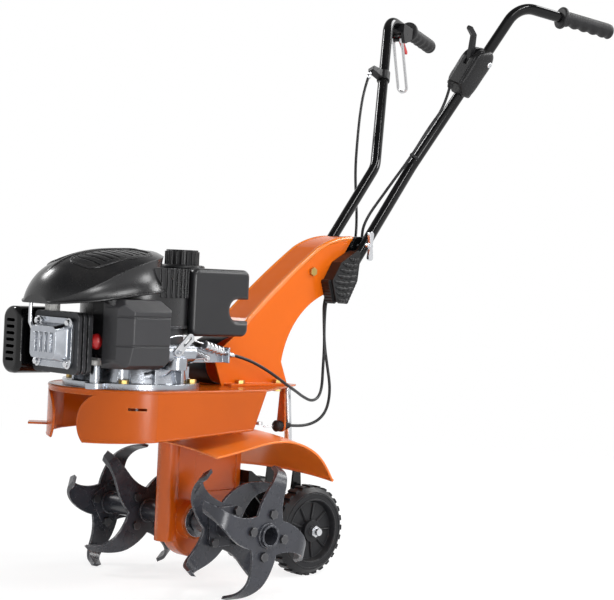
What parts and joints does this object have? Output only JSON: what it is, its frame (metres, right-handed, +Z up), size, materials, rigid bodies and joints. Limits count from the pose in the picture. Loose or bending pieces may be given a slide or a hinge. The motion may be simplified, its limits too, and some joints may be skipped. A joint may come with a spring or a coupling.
{
  "type": "garden tiller",
  "caption": "Petrol garden tiller with an upright-shaft engine, worm-driven tine stars under a hood, rear wheels and a swept handlebar with throttle and clutch levers.",
  "frame": {"origin": "on the ground under the middle of the machine's length and width", "axes": "+Z up, +Y towards the handlebar, the engine's nose at -Y, +X to the machine's left side"},
  "size_m": [0.4684, 1.0872, 1.0014],
  "materials": {
    "orange_paint": "gloss powder coat",
    "black_paint": "gloss black paint",
    "tine_black": "satin black paint on pressed steel",
    "zinc_steel": "zinc plated",
    "turned_steel": "turned",
    "cast_alloy": "die cast, satin",
    "cast_iron": "as cast",
    "bronze": "machined bronze",
    "cowl_plastic": "smooth moulded, gloss",
    "black_plastic": "fine-grained moulded",
    "wheel_plastic": "satin moulded",
    "grey_plastic": "satin moulded",
    "red_plastic": "moulded",
    "red_rubber": "soft moulded bulb",
    "grip_rubber": "matt rubber",
    "belt_rubber": "matt rubber",
    "cable_sheath": "smooth sheath",
    "plug_ceramic": "glazed"
  },
  "bodies": {
    "frame": {"deck": "orange_paint", "mast": "orange_paint", "frame_bolts": "zinc_steel", "gear_case_left": "orange_paint", "gear_case_right": "orange_paint", "gear_case_bearings": "zinc_steel", "tine_hood": "orange_paint", "stay_rod": "zinc_steel", "wheel_bracket": "black_paint", "wheel_axle": "zinc_steel", "handle_bracket": "black_paint", "engine_sump": "cast_alloy", "engine_block": "cast_alloy", "cylinder_head": "cast_alloy", "rocker_cover": "cast_alloy", "spark_plug": "plug_ceramic", "cowl_stay": "zinc_steel", "muffler": "black_paint", "engine_cowl": "cowl_plastic", "fuel_tank": "black_plastic", "air_filter_base": "black_plastic", "air_filter_cover": "black_plastic", "carburettor": "cast_alloy", "drive_belt": "belt_rubber", "throttle_cable": "cable_sheath", "clutch_cable": "cable_sheath"},
    "tines": {"tine_shaft": "turned_steel", "worm_wheel": "bronze", "left_tine_hub": "tine_black", "right_tine_hub": "tine_black", "left_outer_tines": "tine_black", "left_inner_tines": "tine_black", "right_inner_tines": "tine_black", "right_outer_tines": "tine_black", "tine_bolts": "zinc_steel"},
    "worm": {"worm_shaft": "turned_steel", "driven_pulley": "turned_steel"},
    "crank": {"crankshaft": "turned_steel", "flywheel": "cast_iron", "drive_pulley": "turned_steel"},
    "tensioner": {"tensioner_arm": "zinc_steel"},
    "idler": {"idler_pulley": "black_plastic"},
    "left_transport_wheel": {"left_wheel": "wheel_plastic"},
    "right_transport_wheel": {"right_wheel": "wheel_plastic"},
    "handlebar": {"left_handle_tube": "black_paint", "right_handle_tube": "black_paint", "left_grip": "grip_rubber", "right_grip": "grip_rubber", "handle_sockets": "black_plastic", "throttle_housing": "black_plastic", "clutch_bracket": "black_plastic", "cable_stop": "black_plastic"},
    "handlebar_clamp": {"clamp_bolt": "zinc_steel"},
    "throttle": {"throttle_lever": "black_plastic"},
    "carburettor_arm": {"throttle_arm": "zinc_steel"},
    "clutch": {"clutch_lever": "turned_steel"},
    "clutch_catch": {"clutch_lock": "red_plastic"},
    "primer": {"primer_bulb": "red_rubber"},
    "tank_cap": {"fuel_cap": "black_plastic"},
    "dipstick": {"oil_dipstick": "grey_plastic"}
  },
  "joints": [
    {"name": "tine_spin", "type": "hinge", "parent": "frame", "child": "tines", "pos_m": [0, -0.2396, 0.10074], "axis": [1, 0, 0], "continuous": true},
    {"name": "worm_spin", "type": "hinge", "parent": "frame", "child": "worm", "pos_m": [0, -0.2746, 0.2], "axis": [0, 0, 1], "continuous": true},
    {"name": "crank_spin", "type": "hinge", "parent": "frame", "child": "crank", "pos_m": [0, -0.3576, 0.35], "axis": [0, 0, 1], "continuous": true},
    {"name": "tensioner_swing", "type": "hinge", "parent": "frame", "child": "tensioner", "pos_m": [-0.066, -0.1776, 0.25], "axis": [0, 0, 1], "range_deg": [0, 3.9]},
    {"name": "idler_spin", "type": "hinge", "parent": "tensioner", "child": "idler", "pos_m": [-0.066, -0.32958, 0.268], "axis": [0, 0, 1], "continuous": true},
    {"name": "left_wheel_spin", "type": "hinge", "parent": "frame", "child": "left_transport_wheel", "pos_m": [0.063, -0.02507, 0.075], "axis": [1, 0, 0], "continuous": true},
    {"name": "right_wheel_spin", "type": "hinge", "parent": "frame", "child": "right_transport_wheel", "pos_m": [-0.063, -0.02507, 0.075], "axis": [1, 0, 0], "continuous": true},
    {"name": "handlebar_height", "type": "hinge", "parent": "frame", "child": "handlebar", "pos_m": [0, 0.1014, 0.553], "axis": [1, 0, 0], "range_deg": [-15, 12], "deforming": ["throttle_cable", "clutch_cable"]},
    {"name": "clamp_twist", "type": "hinge", "parent": "handlebar", "child": "handlebar_clamp", "pos_m": [0, 0.1014, 0.553], "axis": [1, 0, 0], "range_deg": [0, 180]},
    {"name": "throttle_swing", "type": "hinge", "parent": "handlebar", "child": "throttle", "pos_m": [0.11605, 0.27178, 0.88435], "axis": [-0.9329, 0, 0.3601], "range_deg": [-25, 25]},
    {"name": "throttle_arm_swing", "type": "hinge", "parent": "frame", "child": "carburettor_arm", "pos_m": [0.112, -0.3586, 0.374], "axis": [1, 0, 0], "range_deg": [-20, 20]},
    {"name": "clutch_squeeze", "type": "hinge", "parent": "handlebar", "child": "clutch", "pos_m": [-0.17171, 0.38997, 0.95877], "axis": [0.9497, 0.3132, 0], "range_deg": [0, 55], "stiffness_Nm_per_rad": 2},
    {"name": "clutch_catch_press", "type": "hinge", "parent": "handlebar", "child": "clutch_catch", "pos_m": [-0.17569, 0.40203, 0.96309], "axis": [-0.9497, -0.3132, 0], "range_deg": [0, 20], "stiffness_Nm_per_rad": 0.1},
    {"name": "primer_push", "type": "slide", "parent": "frame", "child": "primer", "axis": [0, 1, 0], "range_m": [0, 0.005], "stiffness_N_per_m": 400},
    {"name": "tank_cap_twist", "type": "hinge", "parent": "frame", "child": "tank_cap", "pos_m": [-0.008, -0.2596, 0.515], "axis": [0, 0, 1], "range_deg": [0, 90]},
    {"name": "dipstick_twist", "type": "hinge", "parent": "frame", "child": "dipstick", "pos_m": [0.046, -0.4626, 0.355], "axis": [0, 0, 1], "range_deg": [0, 90]}
  ],
  "couplings": [
    {"joint": "worm_spin", "follows": "tine_spin", "ratio": 10},
    {"joint": "tensioner_swing", "follows": "clutch_squeeze", "ratio": 0.07},
    {"joint": "throttle_arm_swing", "follows": "throttle_swing", "ratio": 0.8}
  ]
}
